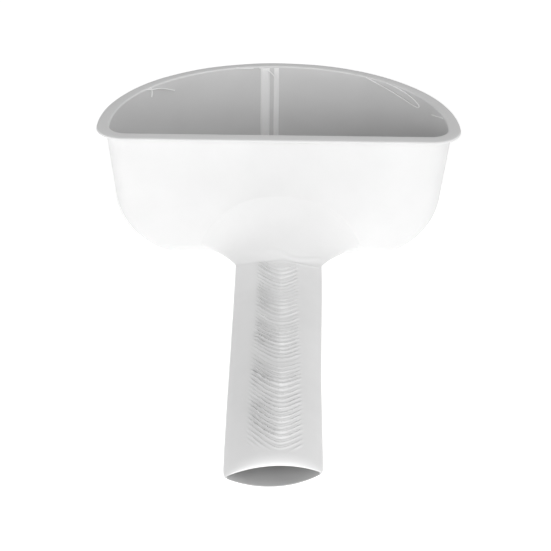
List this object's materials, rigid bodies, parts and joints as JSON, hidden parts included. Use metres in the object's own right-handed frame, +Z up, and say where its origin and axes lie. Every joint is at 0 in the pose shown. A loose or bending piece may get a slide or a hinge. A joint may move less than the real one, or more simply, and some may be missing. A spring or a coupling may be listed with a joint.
{
  "type": "bedpan",
  "caption": "White plastic bedpan with a half-round basin, a flat front wall, a turned-out rim and a long flat hollow handle.",
  "frame": {"origin": "centre of the flat underside of the basin, on the surface the pan stands on", "axes": "+Z up, +Y towards the rounded back of the basin, the handle runs out along -Y, +X to the right when looking from the handle towards the basin"},
  "size_m": [0.24, 0.3936, 0.0935],
  "materials": {
    "pan_white": "satin",
    "rim_white": "satin",
    "seam_white": "satin",
    "handle_upper_shell_white": "satin",
    "handle_lower_shell_white": "satin",
    "lip_white": "satin",
    "neck_white": "satin"
  },
  "bodies": {
    "root": {"pan_shell": "pan_white", "rim_flange": "rim_white", "back_wall_seam": "seam_white", "handle_upper_shell": "handle_upper_shell_white", "handle_lower_shell": "handle_lower_shell_white", "handle_mouth_lip": "lip_white", "neck_fillet": "neck_white"}
  },
  "joints": []
}
